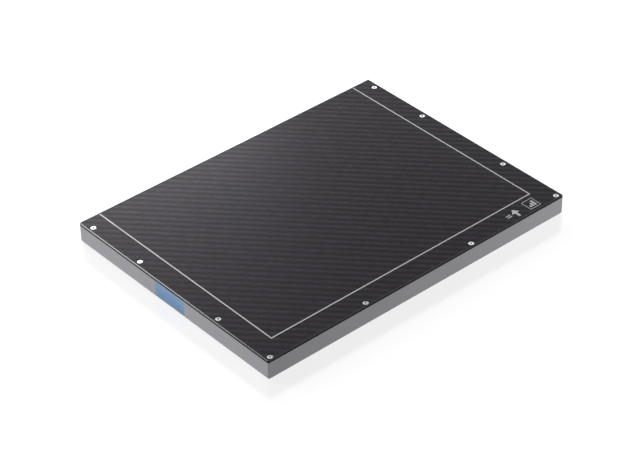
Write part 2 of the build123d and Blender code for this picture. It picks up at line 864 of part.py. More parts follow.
# Battery pack: case, catches, cells, protection board, contact pads and lid
cell_end_x = pack_x - pack_wall - part_gap
pack_board_y = pack_y - pack_side_wall - board_thickness
with BuildPart() as battery_case:
    with BuildSketch(Plane.XY.offset(pack_recess)):
        rectangle(
            pack_centre_x - pack_x, pack_centre_x + pack_x,
            pack_centre_y - pack_y, pack_centre_y + pack_y, pack_corner_radius,
        )
    extrude(amount=pack_lid_bottom - pack_recess)
    block(
        pack_centre_x - pack_x + pack_wall, pack_centre_x + pack_x - pack_wall,
        pack_centre_y - pack_y + pack_side_wall, pack_centre_y + pack_y - pack_side_wall,
        pack_floor_top, pack_lid_bottom, Mode.SUBTRACT,
    )
    for side in (-1, 1):
        lock_block(
            side, pack_y - catch_depth, pack_y, catch_width / 2, catch_bottom, catch_top, Mode.SUBTRACT,
        )
    for x in contact_xs:
        block(
            x - contact_width / 2 - small_step, x + contact_width / 2 + small_step,
            pack_centre_y + pack_y - pack_side_wall, pack_centre_y + pack_y,
            contact_level, contact_level + contact_height, Mode.SUBTRACT,
        )
    with BuildSketch(Plane.XY.offset(pack_recess)):
        with Locations((pack_centre_x + pack_x - pull_inset, pack_centre_y)):
            SlotOverall(pull_length, pull_width, rotation=90)
    extrude(amount=pull_depth, mode=Mode.SUBTRACT)
with BuildPart() as battery_catches:
    for side in (-1, 1):
        lock_block(side, pack_y - catch_depth, catch_tip, catch_width / 2, catch_bottom, catch_top)
with BuildPart() as battery_lid:
    with BuildSketch(Plane.XY.offset(pack_lid_bottom)):
        rectangle(
            pack_centre_x - pack_x, pack_centre_x + pack_x,
            pack_centre_y - pack_y, pack_centre_y + pack_y, pack_corner_radius,
        )
    extrude(amount=pack_lid_thickness)
with BuildPart() as battery_cells:
    for side in (-1, 1):
        x_low, x_high = sorted((
            pack_centre_x + side * cell_gap / 2, pack_centre_x + side * cell_end_x,
        ))
        block(
            x_low, x_high,
            pack_centre_y - pack_y + pack_side_wall + part_gap, pack_centre_y + pack_board_y - part_gap,
            pack_floor_top, pack_floor_top + cell_height,
        )
with BuildPart() as battery_board:
    block(
        contact_x - contact_half_x, contact_x + contact_half_x,
        pack_centre_y + pack_board_y, pack_centre_y + pack_board_y + board_thickness,
        pack_floor_top, pack_lid_bottom - part_gap,
    )
with BuildPart() as battery_pads:
    for x in contact_xs:
        block(
            x - contact_width / 2 - small_step, x + contact_width / 2 + small_step,
            pack_centre_y + pack_board_y + board_thickness, pack_centre_y + pack_y,
            contact_level, contact_level + contact_height,
        )


def battery_lock(side):
    """Sliding lock: a tongue that goes under the catch, a plate and a ribbed thumb tab."""
    with BuildPart() as lock:
        lock_block(side, lock_tip, lock_plate_start, lock_tongue_width / 2, lock_bottom, lock_top)
        lock_block(side, lock_plate_start, lock_plate_end, lock_plate_width / 2, lock_bottom, lock_top)
        lock_block(side, lock_tab_start, lock_tab_end, lock_tab_width / 2, lock_tab_recess, lock_bottom)
        rib_pitch = lock_tab_length / lock_rib_count
        for i in range(lock_rib_count):
            groove = lock_tab_start + rib_pitch * i + (rib_pitch - lock_rib_width) / 2
            lock_block(
                side, groove, groove + lock_rib_width, lock_tab_width / 2,
                lock_tab_recess, lock_tab_recess + lock_rib_depth, Mode.SUBTRACT,
            )
    return lock


battery_lock_low = battery_lock(-1)
battery_lock_high = battery_lock(1)

# Rear cover, with the battery opening, its notches for the catches and the slots of the lock tabs
cover_x = cavity_x - cover_fit
rear_label_x = cover_x - rear_label_end_gap - rear_label_length / 2
rear_label_y = cavity_high_y - rear_label_chest_gap - rear_label_width / 2
with BuildPart() as rear_cover:
    block(
        -cover_x, cover_x, cavity_low_y + cover_fit, cavity_high_y - cover_fit, 0, cover_thickness,
    )
    with BuildSketch():
        rectangle(
            pack_centre_x - pocket_x, pack_centre_x + pocket_x,
            pack_centre_y - pocket_y, pack_centre_y + pocket_y, pack_corner_radius,
        )
    extrude(amount=cover_thickness, mode=Mode.SUBTRACT)
    with Locations(*[Plane(origin=(x, y, 0), z_dir=(0, 0, -1)) for x, y in cover_screw_places]):
        CounterSinkHole(screw_radius + hole_gap, head_radius + head_gap, counter_sink_angle=90)
    for side in (-1, 1):
        lock_block(
            side, lock_tab_start - lock_travel - part_gap, lock_tab_end + part_gap,
            lock_tab_width / 2 + part_gap, 0, cover_thickness, Mode.SUBTRACT,
        )
        lock_block(
            side, pocket_y - part_gap, catch_tip + pack_fit, catch_width / 2 + pack_fit,
            0, cover_thickness, Mode.SUBTRACT,
        )
    block(
        rear_label_x - rear_label_length / 2, rear_label_x + rear_label_length / 2,
        rear_label_y - rear_label_width / 2, rear_label_y + rear_label_width / 2,
        0, label_thickness + fit_gap, Mode.SUBTRACT,
    )
rear_cover_screws = countersunk_screws(cover_screw_places, head_gap, cover_screw_length, -1)

# Labels, sunk into the surface
with BuildPart() as side_label:
    block(
        -half_length, -half_length + label_thickness,
        side_label_offset - side_label_length / 2, side_label_offset + side_label_length / 2,
        side_label_level - side_label_height / 2, side_label_level + side_label_height / 2,
    )
with BuildPart() as rear_label:
    block(
        rear_label_x - rear_label_length / 2, rear_label_x + rear_label_length / 2,
        rear_label_y - rear_label_width / 2, rear_label_y + rear_label_width / 2,
        fit_gap, label_thickness + fit_gap,
    )

# Connector side: a board on edge carries the switch, the lights and the charging contacts
io_board_low_z = fitting_level - io_board_height / 2
io_board_high_z = fitting_level + io_board_height / 2
io_board_low_y = dock_y - dock_length / 2 - io_board_margin
io_board_high_y = light_ys[0] + io_board_margin
with BuildPart() as io_board:
    block(
        io_board_face - board_thickness, io_board_face,
        io_board_low_y, io_board_high_y, io_board_low_z, io_board_high_z,
    )
with BuildPart() as io_ribbon:
    with BuildSketch(Plane.XZ.offset(-button_y)):
        with BuildLine():
            FilletPolyline(
                (main_board[1] - flex_board_bond, flex_low_level),
                (io_board_face - board_thickness - flex_thickness / 2, flex_low_level),
                (io_board_face - board_thickness - flex_thickness / 2, fitting_level),
                radius=flex_bend,
            )
        trace(line_width=flex_thickness)
    extrude(amount=ribbon_width)

# Power button with its bezel and the switch behind it
switch_face = io_board_face + switch_depth
plunger_end = switch_face + button_travel + button_gap
bezel_inner_face = cavity_x - bezel_flange_thickness
button_flange_face = bezel_inner_face - button_gap
with BuildPart() as button_bezel:
    rod(cavity_x, half_length - fit_gap, button_y, fitting_level, bezel_radius - fit_gap)
    rod(bezel_inner_face, cavity_x, button_y, fitting_level, bezel_flange_radius)
    rod(bezel_inner_face, half_length, button_y, fitting_level, button_radius + button_gap, Mode.SUBTRACT)
with BuildPart() as power_button:
    rod(button_flange_face, half_length - button_recess, button_y, fitting_level, button_radius)
    rod(
        button_flange_face - button_flange_thickness, button_flange_face,
        button_y, fitting_level, button_flange_radius,
    )
    rod(
        plunger_end, button_flange_face - button_flange_thickness,
        button_y, fitting_level, button_stem_radius,
    )
with BuildPart() as power_switch:
    block(
        io_board_face, switch_face,
        button_y - switch_size / 2, button_y + switch_size / 2,
        fitting_level - switch_size / 2, fitting_level + switch_size / 2,
    )
    rod(
        io_board_face + small_step, switch_face, button_y, fitting_level,
        switch_plunger_radius + button_gap, Mode.SUBTRACT,
    )
with BuildPart() as switch_plunger:
    rod(
        plunger_end - switch_plunger_length, plunger_end,
        button_y, fitting_level, switch_plunger_radius,
    )

# Status lights: lamps on the board and clear rods through the wall
with BuildPart() as status_lamps:
    for y in light_ys:
        block(
            io_board_face, io_board_face + led_depth,
            y - led_size / 2, y + led_size / 2, fitting_level - led_size / 2, fitting_level + led_size / 2,
        )
with BuildPart() as light_rods:
    for y in light_ys:
        rod(
            io_board_face + led_depth + small_step, half_length - fit_gap,
            y, fitting_level, light_radius - fit_gap,
        )

# Charging contacts: an insulating block with gold pins, sunk just below the wall
dock_face = half_length - dock_recess
dock_pin_ys = [dock_y + dock_pin_pitch * (i - (dock_pin_count - 1) / 2) for i in range(dock_pin_count)]
with BuildPart() as dock_block:
    with BuildSketch(Plane.YZ.offset(io_board_face)):
        with Locations((dock_y, fitting_level)):
            SlotOverall(dock_length - 2 * fit_gap, dock_height - 2 * fit_gap)
    extrude(amount=dock_face - io_board_face)
    for y in dock_pin_ys:
        rod(dock_face - dock_pin_depth, dock_face, y, fitting_level, dock_pin_radius, Mode.SUBTRACT)
with BuildPart() as dock_pins:
    for y in dock_pin_ys:
        rod(dock_face - dock_pin_depth, dock_face, y, fitting_level, dock_pin_radius - thread_gap)

# Antennas behind their plastic windows, and their leads to the main board
antenna_face = cavity_x - antenna_thickness
lead_size = 0.8
lead_turn_gap = 3.0
lead_level = board_bottom
with BuildPart() as antenna_windows:
    with BuildSketch(Plane.YZ.offset(cavity_x)):
        with Locations(*[(y, fitting_level) for y in window_ys]):
            SlotOverall(window_length - 2 * fit_gap, window_height - 2 * fit_gap)
    extrude(amount=side_wall - window_recess)
with BuildPart() as antennas:
    for y in window_ys:
        block(
            antenna_face, cavity_x, y - antenna_length / 2, y + antenna_length / 2,
            fitting_level - antenna_height / 2, fitting_level + antenna_height / 2,
        )
with BuildPart() as antenna_leads:
    for i, y in enumerate(window_ys):
        turn_x = main_board[1] + lead_turn_gap * (i + 1)
        end_y = main_board[2] + lead_turn_gap * (i + 1)
        with BuildSketch(Plane.XY.offset(lead_level)):
            with BuildLine():
                FilletPolyline(
                    (antenna_face, y), (turn_x, y), (turn_x, end_y), (main_board[1], end_y),
                    radius=lead_size,
                )
            trace(line_width=lead_size)
        extrude(amount=lead_size)

pieces = {
    "side_frame": side_frame,
    "plate_seal": plate_seal,
    "front_plate": front_plate,
    "active_area_line": active_area_line,
    "plate_screws": plate_screws,
    "cushion_foam": cushion_foam,
    "scintillator": scintillator,
    "sensor_glass": sensor_glass,
    "lead_shield": lead_shield,
    "chassis_plate": chassis_plate,
    "gate_flexes": gate_flexes,
    "readout_flexes": readout_flexes,
    "gate_chips": gate_chips,
    "readout_chips": readout_chips,
    "thermal_pads": thermal_pads,
    "gate_board": gate_pcb,
    "readout_board": readout_pcb,
    "main_board": main_pcb,
    "power_board": power_pcb,
    "board_standoffs": board_standoffs,
    "inner_screws": inner_screws,
    "main_board_chips": main_board_chips,
    "gate_board_chips": gate_board_chips,
    "readout_board_chips": readout_board_chips,
    "power_coils": power_coils,
    "power_capacitors": power_capacitors,
    "board_sockets": board_sockets,
    "shock_sensor": shock_sensor,
    "wireless_module": wireless_module,
    "shield_can": shield_can,
    "board_ribbons": board_ribbons,
    "battery_tray": battery_tray,
    "contact_block": contact_block,
    "battery_contacts": battery_contacts,
    "battery_lead": battery_lead,
    "battery_case": battery_case,
    "battery_catches": battery_catches,
    "battery_lid": battery_lid,
    "battery_cells": battery_cells,
    "battery_board": battery_board,
    "battery_pads": battery_pads,
    "battery_lock_low": battery_lock_low,
    "battery_lock_high": battery_lock_high,
    "rear_cover": rear_cover,
    "rear_cover_screws": rear_cover_screws,
    "side_label": side_label,
    "rear_label": rear_label,
    "io_board": io_board,
    "io_ribbon": io_ribbon,
    "button_bezel": button_bezel,
    "power_button": power_button,
    "power_switch": power_switch,
    "switch_plunger": switch_plunger,
    "status_lamps": status_lamps,
    "light_rods": light_rods,
    "dock_block": dock_block,
    "dock_pins": dock_pins,
    "antenna_windows": antenna_windows,
    "antennas": antennas,
    "antenna_leads": antenna_leads,
}
for name, piece in pieces.items():
    piece.part.label = name
    export_step(piece.part, f"parts/{name}.step")
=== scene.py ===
import json
import math

import bmesh
import bpy
from mathutils import Matrix, Vector


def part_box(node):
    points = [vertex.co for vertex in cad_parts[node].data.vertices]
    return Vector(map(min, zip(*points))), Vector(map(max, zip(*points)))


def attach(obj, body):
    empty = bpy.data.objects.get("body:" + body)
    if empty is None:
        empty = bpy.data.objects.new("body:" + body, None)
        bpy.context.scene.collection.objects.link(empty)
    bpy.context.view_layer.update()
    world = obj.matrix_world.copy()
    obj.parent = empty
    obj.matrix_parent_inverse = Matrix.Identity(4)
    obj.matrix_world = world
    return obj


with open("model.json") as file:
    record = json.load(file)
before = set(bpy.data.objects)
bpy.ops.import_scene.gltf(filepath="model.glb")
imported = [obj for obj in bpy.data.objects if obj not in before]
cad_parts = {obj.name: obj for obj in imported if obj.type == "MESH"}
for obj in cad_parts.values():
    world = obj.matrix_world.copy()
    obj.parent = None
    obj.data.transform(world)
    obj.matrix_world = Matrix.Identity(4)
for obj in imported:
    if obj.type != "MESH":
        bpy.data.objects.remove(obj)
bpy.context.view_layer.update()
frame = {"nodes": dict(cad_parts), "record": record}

# Mammography detector on a white glossy table. Sizes are in metres.
# X runs along the long side, Y along the short side, and the underside lies on Z = 0.

MM = 0.001
plate_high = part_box("front_plate")[1]

# Camera, fitted to the edges, screws and printed line in the photograph
camera_azimuth = math.radians(-40.473)
camera_elevation = math.radians(36.637)
camera_roll = math.radians(-1.225)
camera_aim = Vector((-8.43 * MM, -6.72 * MM, 0.0))
camera_distance = 1582.4 * MM
camera_lens = 129.825
sensor_width = 36.0


def photo_camera():
    """The photograph's view of the detector."""
    sine, cosine = math.sin(camera_azimuth), math.cos(camera_azimuth)
    back = Vector((
        sine * math.cos(camera_elevation), -cosine * math.cos(camera_elevation), math.sin(camera_elevation),
    ))
    level_right = Vector((cosine, sine, 0.0))
    level_up = back.cross(level_right)
    right = math.cos(camera_roll) * level_right + math.sin(camera_roll) * level_up
    up = back.cross(right)
    data = bpy.data.cameras.new("photo_camera")
    data.lens = camera_lens
    data.sensor_width = sensor_width
    data.sensor_fit = "HORIZONTAL"
    data.clip_end = 50.0
    camera = bpy.data.objects.new("photo_camera", data)
    turn = Matrix((right, up, back)).transposed().to_4x4()
    camera.matrix_world = Matrix.Translation(camera_aim + back * camera_distance) @ turn
    bpy.context.scene.collection.objects.link(camera)
    bpy.context.scene.camera = camera


class Wire:
    """An output socket in a finish. Arithmetic on it adds Math nodes."""

    def __init__(self, tree, socket=None):
        self.tree = tree
        self.socket = socket

    def node(self, kind, settings=None, inputs=None, output=0):
        """A new node: its settings come first, then the values or links of its sockets."""
        made = self.tree.nodes.new(kind)
        for name, value in (settings or {}).items():
            setattr(made, name, value)
        sockets = {entry.identifier: entry for entry in made.inputs}
        for name, value in (inputs or {}).items():
            if isinstance(value, Wire):
                self.tree.links.new(value.socket, sockets[name])
            else:
                sockets[name].default_value = value
        return Wire(self.tree, made.outputs[output] if len(made.outputs) else None)

    def math(self, operation, *values):
        names = ("Value", "Value_001", "Value_002")
        return self.node("ShaderNodeMath", {"operation": operation}, dict(zip(names, values)))

    def __add__(self, other):
        return self.math("ADD", self, other)

    def __radd__(self, other):
        return self.math("ADD", other, self)

    def __sub__(self, other):
        return self.math("SUBTRACT", self, other)

    def __rsub__(self, other):
        return self.math("SUBTRACT", other, self)

    def __mul__(self, other):
        return self.math("MULTIPLY", self, other)

    def __rmul__(self, other):
        return self.math("MULTIPLY", other, self)

    def __truediv__(self, other):
        return self.math("DIVIDE", self, other)

    def __mod__(self, other):
        return self.math("FLOORED_MODULO", self, other)

    def __pow__(self, other):
        return self.math("POWER", self, other)

    def __lt__(self, other):
        return self.math("LESS_THAN", self, other)

    def __gt__(self, other):
        return self.math("GREATER_THAN", self, other)


def new_finish(name):
    """An empty material, and the wire of places on the object, in metres."""
    made = bpy.data.materials.new(name)
    made.use_nodes = True
    made.node_tree.nodes.clear()
    return made, Wire(made.node_tree).node("ShaderNodeTexCoord", output="Object")


def coat_with(place, **inputs):
    """The Principled shader of a finish, joined to its output. Underscores stand for spaces."""
    named = {name.replace("_", " "): value for name, value in inputs.items()}
    shader = place.node("ShaderNodeBsdfPrincipled", {}, named)
    place.node("ShaderNodeOutputMaterial", {}, {"Surface": shader})


def axes(place):
    """X, Y and Z of a place."""
    return [place.node("ShaderNodeSeparateXYZ", {}, {"Vector": place}, axis) for axis in "XYZ"]


def stretched(place, x, y, z):
    """A place with its axes scaled one by one."""
    return place.node(
        "ShaderNodeVectorMath", {"operation": "MULTIPLY"}, {"Vector": place, "Vector_001": (x, y, z)}
    )


def mottle(place, size, detail=2.0, roughness=0.5):
    """Soft noise from 0 to 1, with spots of about that size in metres."""
    inputs = {"Vector": place, "Scale": 1.0 / size, "Detail": detail, "Roughness": roughness}
    return place.node("ShaderNodeTexNoise", {}, inputs)


def blend(factor, low, high):
    """Between two colours."""
    return factor.node(
        "ShaderNodeMix", {"data_type": "RGBA"},
        {"Factor_Float": factor, "A_Color": low, "B_Color": high}, output=2,
    )


def grey(value, tint=(1.0, 1.0, 1.0)):
    """A colour from a level and a tint."""
    return (value * tint[0], value * tint[1], value * tint[2], 1.0)


def relief(height, depth):
    """Small hills of that depth in metres."""
    return height.node("ShaderNodeBump", {}, {"Height": height, "Distance": depth, "Strength": 1.0})


def band(value, middle, half):
    """One where a value is within half of the middle, otherwise zero."""
    offset = value - middle
    return offset.math("ABSOLUTE", offset) < half


def facing(place, axis):
    """How far the surface faces along X, Y or Z, from -1 to 1."""
    normal = place.node("ShaderNodeNewGeometry", output="Normal")
    return axes(normal)["XYZ".index(axis)]


# Woven carbon plate
warp_tow = 1.91 * MM
weft_tow = 2.05 * MM
tow_sway = 0.35  # how far the tows wander, as a share of their width
fibre_width = 0.16 * MM
fibre_stretch = 0.05
facing_up = 0.9
facing_bevel = 0.3
rim_width = 0.6 * MM
# The weave's colours span its own tone and a painted sheen.
weave_dark = (0.002, 0.0012, 0.0022, 1.0)
weave_light = (0.018, 0.0155, 0.0215, 1.0)
cut_dark = (0.006, 0.006, 0.007, 1.0)
cut_light = (0.02, 0.02, 0.022, 1.0)
weave_relief = 0.03 * MM


def carbon_weave():
    """Twill of flat tows in resin: each tow goes over two and under two. Its colour holds a painted sheen.
    """
    made, place = new_finish("carbon_weave")
    x, y, _ = axes(place)
    column = x / warp_tow + (mottle(place, 9.0 * MM) - 0.5) * tow_sway
    row = y / weft_tow + (mottle(place, 11.0 * MM) - 0.5) * tow_sway
    column_number = column.math("FLOOR", column)
    row_number = row.math("FLOOR", row)
    long_tow_on_top = ((column_number + row_number) % 4.0) < 2.0

    def crown(across, along):
        """Height of a float: round across the tow, and sunk at both of its ends."""
        side = (across.math("FRACT", across) - 0.5) * 2.0
        end = along - 0.5
        return (1.0 - side * side) * (1.0 - (end * end * 4.0) ** 2.0)

    long_float = crown(column, ((row + column_number) % 4.0) / 2.0)
    cross_float = crown(row, ((column + row_number) % 4.0 - 2.0) / 2.0)
    height = long_tow_on_top * long_float + (1.0 - long_tow_on_top) * cross_float
    long_fibres = mottle(stretched(place, 1.0, fibre_stretch, 1.0), fibre_width)
    cross_fibres = mottle(stretched(place, fibre_stretch, 1.0, 1.0), fibre_width)
    fibres = long_tow_on_top * long_fibres + (1.0 - long_tow_on_top) * cross_fibres
    cloud = mottle(place, 14.0 * MM, 3.0)
    patchy = mottle(place, 5.0 * MM, 3.0, 0.6)
    # Painted sheen: the tows that run along Y and a soft stripe along the twill are coloured lighter,
    # standing in for their reflections.
    across_twill = (column + row) * (math.pi / 2)
    painted_diagonal_highlight = 0.5 - across_twill.math("COSINE", across_twill) * 0.5
    painted_sheen = long_tow_on_top * 0.4 + painted_diagonal_highlight * 0.6
    tone = painted_sheen * patchy * 0.8 + fibres * 0.25 + cloud * 0.3
    up = facing(place, "Z")
    top_side = up > facing_up
    from_side = x.math("ABSOLUTE", x) - plate_high.x
    from_end = y.math("ABSOLUTE", y) - plate_high.y
    rim = from_side.math("MAXIMUM", from_side, from_end) > -rim_width
    bevel = (up > facing_bevel) * (1.0 - top_side) * rim
    weave = blend(tone, weave_dark, weave_light)
    plies = mottle(stretched(place, 0.1, 0.1, 1.0), 0.25 * MM)
    cut_edge = blend(plies, cut_dark, cut_light)
    coat_with(
        place,
        Base_Color=blend(top_side, cut_edge, weave),
        Roughness=0.26 + fibres * 0.1,
        Specular_IOR_Level=0.025,
        Specular_Tint=(0.9, 0.84, 1.0, 1.0),
        Coat_Weight=bevel + top_side * (0.12 + painted_sheen * patchy * 0.22),
        Coat_Roughness=0.21,
        Normal=relief(height * top_side + fibres * 0.15, weave_relief),
    )
    return made


# Paint and plastic
peel_size = 0.45 * MM
peel_depth = 0.003 * MM
frame_tint = (0.995, 0.985, 1.03)
cover_tint = (1.0, 1.0, 1.02)


def painted(name, light, dark, roughness=0.52):
    """Fine powder paint on metal: slightly cloudy, with a very fine orange peel."""
    made, place = new_finish(name)
    cloud = mottle(place, 30.0 * MM, 4.0)
    peel = mottle(place, peel_size, 3.0)
    coat_with(
        place,
        Base_Color=blend(cloud * 0.7 + peel * 0.3, dark, light),
        Roughness=roughness + peel * 0.1,
        Specular_IOR_Level=0.3,
        Normal=relief(peel, peel_depth),
    )
    return made


def cast_frame():
    return painted("cast_frame", grey(0.385, frame_tint), grey(0.345, frame_tint))


def cover_grey():
    return painted("cover_grey", grey(0.3, cover_tint), grey(0.25, cover_tint), 0.5)


def moulded(name, light, dark, grain=0.5 * MM, depth=0.03 * MM, roughness=0.5):
    """Moulded plastic with a fine spark-eroded texture."""
    made, place = new_finish(name)
    texture = mottle(place, grain, 4.0, 0.6)
    cloud = mottle(place, 20.0 * MM)
    coat_with(
        place,
        Base_Color=blend(texture * 0.6 + cloud * 0.4, dark, light),
        Roughness=roughness + texture * 0.15,
        Normal=relief(texture, depth),
    )
    return made


def seal_black():
    return moulded("seal_black", grey(0.012), grey(0.006), 0.3 * MM, 0.01 * MM, 0.6)


def tray_black():
    return moulded("tray_black", grey(0.045), grey(0.03))


def pack_black():
    return moulded("pack_black", grey(0.04), grey(0.025), 0.6 * MM, 0.04 * MM, 0.48)


def lock_grey():
    return moulded("lock_grey", grey(0.34), grey(0.28), 0.4 * MM, 0.02 * MM, 0.45)


def bezel_black():
    return moulded("bezel_black", grey(0.03), grey(0.02), 0.4 * MM, 0.02 * MM, 0.42)


def button_grey():
    return moulded("button_grey", grey(0.58), grey(0.52), 0.3 * MM, 0.006 * MM, 0.38)


def chip_black():
    return moulded("chip_black", grey(0.025), grey(0.015), 0.25 * MM, 0.01 * MM, 0.4)


def socket_ivory():
    light, dark = (0.78, 0.74, 0.62, 1.0), (0.7, 0.66, 0.54, 1.0)
    return moulded("socket_ivory", light, dark, 0.3 * MM, 0.006 * MM)


def lead_black():
    return moulded("lead_black", grey(0.035), grey(0.02), 0.3 * MM, 0.01 * MM, 0.5)


def pad_grey():
    light, dark = (0.4, 0.43, 0.47, 1.0), (0.3, 0.33, 0.37, 1.0)
    return moulded("pad_grey", light, dark, 0.2 * MM, 0.01 * MM, 0.7)


def foam_grey():
    return moulded("foam_grey", grey(0.16), grey(0.06), 0.4 * MM, 0.15 * MM, 0.8)


def scintillator_white():
    light, dark = (0.8, 0.84, 0.86, 1.0), (0.74, 0.78, 0.8, 1.0)
    return moulded("scintillator_white", light, dark, 0.1 * MM, 0.002 * MM)


def lamp_white():
    light, dark = (0.9, 0.9, 0.82, 1.0), (0.84, 0.82, 0.7, 1.0)
    return moulded("lamp_white", light, dark, 0.2 * MM, 0.004 * MM, 0.3)


# Metals
no_streaks = (1.0, 1.0, 1.0)
tin_tint = (1.0, 0.99, 0.96)
socket_depth = 0.1 * MM
# Corner whose three nearest screw heads get a painted dimmer reflection
dim_reflection_corner_x = 0.0
dim_reflection_corner_y = -20.0 * MM


def bare_metal(name, light, dark, roughness, streaks=(1.0, 0.04, 1.0), grain=0.12 * MM):
    """Metal with fine machining lines along one axis, or a plain grain."""
    made, place = new_finish(name)
    lines = mottle(stretched(place, *streaks), grain, 3.0)
    cloud = mottle(place, 8.0 * MM)
    coat_with(
        place,
        Base_Color=blend(lines * 0.6 + cloud * 0.4, dark, light),
        Metallic=1.0,
        Roughness=roughness + lines * 0.12,
        Normal=relief(lines, 0.002 * MM),
    )
    return made


def screw_steel():
    """Bright screw heads, with painted shade in the socket in the middle. The three nearest one corner are
    painted darker for their dimmer reflection.
    """
    made, place = new_finish("screw_steel")
    x, y, z = axes(place)
    head_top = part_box("plate_screws")[1].z
    # Painted shade in the socket recess
    socket = z < head_top - socket_depth
    turned = mottle(place, 0.4 * MM, 3.0)
    # Painted dimmer reflection: the three heads nearest that corner are coloured darker
    painted_dim_reflection = (x < dim_reflection_corner_x) * (y < dim_reflection_corner_y)
    steel = blend(painted_dim_reflection, grey(0.54), grey(0.28))
    coat_with(
        place,
        Base_Color=blend(socket, steel, grey(0.02)),
        Metallic=1.0,
        Roughness=0.36 + turned * 0.08 + socket * 0.2,
        Normal=relief(turned, 0.004 * MM),
    )
    return made


def screw_black():
    return bare_metal("screw_black", grey(0.16), grey(0.1), 0.32)


def spacer_brass():
    return bare_metal("spacer_brass", (0.78, 0.6, 0.3, 1.0), (0.66, 0.48, 0.2, 1.0), 0.25)


def contact_gold():
    return bare_metal("contact_gold", (0.95, 0.72, 0.32, 1.0), (0.86, 0.6, 0.22, 1.0), 0.16)


def antenna_copper():
    return bare_metal("antenna_copper", (0.84, 0.46, 0.28, 1.0), (0.7, 0.36, 0.2, 1.0), 0.28)


def can_tin():
    return bare_metal("can_tin", grey(0.78, tin_tint), grey(0.68, tin_tint), 0.28)


def plate_magnesium():
    return bare_metal("plate_magnesium", grey(0.62), grey(0.52), 0.38, no_streaks, 0.5 * MM)


def cell_silver():
    return bare_metal("cell_silver", grey(0.75), grey(0.62), 0.3, no_streaks, 1.2 * MM)


def shield_lead():
    light, dark = (0.3, 0.31, 0.34, 1.0), (0.22, 0.23, 0.26, 1.0)
    return bare_metal("shield_lead", light, dark, 0.5, no_streaks, 2.0 * MM)


def coil_grey():
    """Pressed ferrite with fine specks."""
    return moulded("coil_grey", grey(0.2), grey(0.12), 0.15 * MM, 0.01 * MM, 0.55)


# Boards, films and print
track_pitch = 0.5 * MM
track_share = 0.45
hole_pitch = 2.54 * MM
film_line_pitch = 0.4 * MM
pixel_pitch = 0.1 * MM
pixel_line_share = 0.2
print_tint = (1.0, 1.0, 1.03)


def board_green():
    """Solder mask over copper tracks, with rows of plated holes."""
    made, place = new_finish("board_green")
    x, y, _ = axes(place)
    wander = (mottle(place, 6.0 * MM) - 0.5) * 3.0
    tracks = ((x / track_pitch + wander) % 1.0) < track_share
    cross_tracks = ((y / track_pitch + wander) % 1.0) < track_share
    region = mottle(place, 12.0 * MM) > 0.5
    copper = region * tracks + (1.0 - region) * cross_tracks
    hole_x = (x / hole_pitch) % 1.0 - 0.5
    hole_y = (y / hole_pitch) % 1.0 - 0.5
    plated = (hole_x * hole_x + hole_y * hole_y < 0.014) * (mottle(place, 7.0 * MM) > 0.56)
    mask = blend(copper, (0.008, 0.075, 0.032, 1.0), (0.014, 0.13, 0.055, 1.0))
    coat_with(
        place,
        Base_Color=blend(plated, mask, (0.75, 0.6, 0.3, 1.0)),
        Metallic=plated * 0.9,
        Roughness=0.3 + mottle(place, 0.5 * MM) * 0.1,
        Normal=relief(copper, 0.03 * MM),
    )
    return made


def flex_amber():
    """Polyimide film over fine copper lines."""
    made, place = new_finish("flex_amber")
    x, y, _ = axes(place)
    lines = ((x / film_line_pitch) % 1.0 < 0.5) * ((y / film_line_pitch) % 1.0 < 0.8)
    coat_with(
        place,
        Base_Color=blend(lines, (0.42, 0.17, 0.02, 1.0), (0.62, 0.3, 0.06, 1.0)),
        Roughness=0.28 + mottle(place, 3.0 * MM) * 0.12,
        Normal=relief(lines, 0.01 * MM),
    )
    return made


def sensor_glass():
    """Glass with a fine grid of pixels."""
    made, place = new_finish("sensor_glass")
    x, y, _ = axes(place)
    grid = ((x / pixel_pitch) % 1.0 < pixel_line_share) + ((y / pixel_pitch) % 1.0 < pixel_line_share)
    grid = grid.math("MINIMUM", grid, 1.0)
    coat_with(
        place,
        Base_Color=blend(grid, (0.25, 0.3, 0.36, 1.0), (0.42, 0.46, 0.5, 1.0)),
        Roughness=0.06 + mottle(place, 20.0 * MM) * 0.04,
    )
    return made


def light_clear():
    """Clear rods that are slightly frosted on their faces."""
    made, place = new_finish("light_clear")
    frost = mottle(place, 0.3 * MM, 3.0)
    coat_with(
        place,
        Base_Color=blend(frost, (0.8, 0.86, 0.83, 1.0), (0.92, 0.96, 0.94, 1.0)),
        Roughness=0.1 + frost * 0.15,
        Transmission_Weight=0.6,
        IOR=1.49,
        Normal=relief(frost, 0.01 * MM),
    )
    return made


def print_grey():
    """Screen-printed ink, a little uneven over the weave."""
    made, place = new_finish("print_grey")
    spread = mottle(place, 0.8 * MM, 4.0)
    coat_with(
        place,
        Base_Color=blend(spread, grey(0.32, print_tint), grey(0.44, print_tint)),
        Roughness=0.26 + spread * 0.1,
        Normal=relief(spread, 0.006 * MM),
    )
    return made


def label_blue():
    """Printed film, lighter towards the front plate."""
    made, place = new_finish("label_blue")
    z = axes(place)[2]
    low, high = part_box("side_label")
    rise = (z - low.z) / (high.z - low.z)
    fibre = mottle(place, 0.5 * MM, 3.0)
    tone = rise * 0.85 + (fibre - 0.5) * 0.2
    coat_with(
        place,
        Base_Color=blend(tone, (0.13, 0.26, 0.46, 1.0), (0.225, 0.385, 0.59, 1.0)),
        Roughness=0.5 + fibre * 0.1,
        Specular_IOR_Level=0.3,
        Normal=relief(fibre, 0.003 * MM),
    )
    return made


# Ruled table on the rear label, in millimetres
rule_half = 0.14
table_margin = 1.2
table_rows = 5
column_share = 0.4


